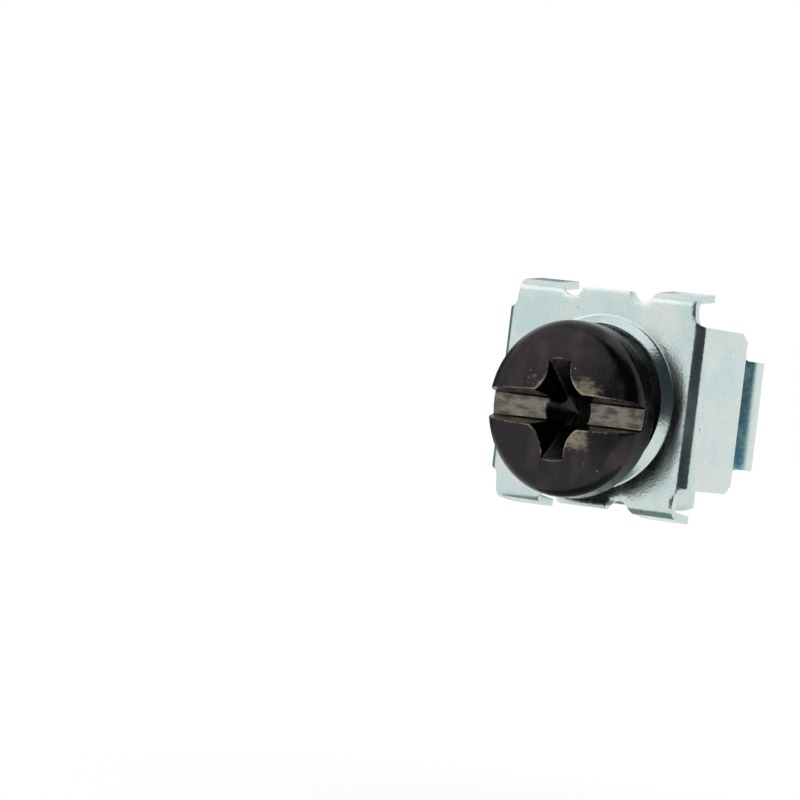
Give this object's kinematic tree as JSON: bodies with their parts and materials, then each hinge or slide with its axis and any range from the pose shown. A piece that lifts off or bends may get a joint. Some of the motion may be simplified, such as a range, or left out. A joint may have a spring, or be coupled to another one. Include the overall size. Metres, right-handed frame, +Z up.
{
  "type": "rack cage nut with screw",
  "caption": "Square nut floating in a folded spring-steel cage with two hooked legs for a 9.5 mm square rack hole, with its black pan-head screw threaded in from the base side.",
  "frame": {"origin": "centre of the rack rail's square hole, in the plane of the rail's rear face, on which the cage's shoulders bear", "axes": "+Y along the screw, from the base plate through the rail; +Z up along the rail; +X across the rail, from leg to leg"},
  "size_m": [0.014, 0.0186, 0.014],
  "materials": {
    "zinc_sheet": "bright zinc plating with a blue-green passivation tint",
    "zinc_nut": "bright zinc plating, slightly duller than the sheet",
    "black_steel": "black phosphate and oil, worn at the drive"
  },
  "bodies": {
    "cage": {"cage": "zinc_sheet"},
    "nut": {"nut": "zinc_nut"},
    "screw": {"screw": "black_steel"}
  },
  "joints": [
    {"name": "nut_float", "type": "slide", "parent": "cage", "child": "nut", "axis": [0, 0, 1], "range_m": [0, 0.00178]},
    {"name": "screw_turn", "type": "hinge", "parent": "nut", "child": "screw", "pos_m": [-0.00025, -0.00745, -0.00089], "axis": [0, 1, 0], "continuous": true}
  ]
}
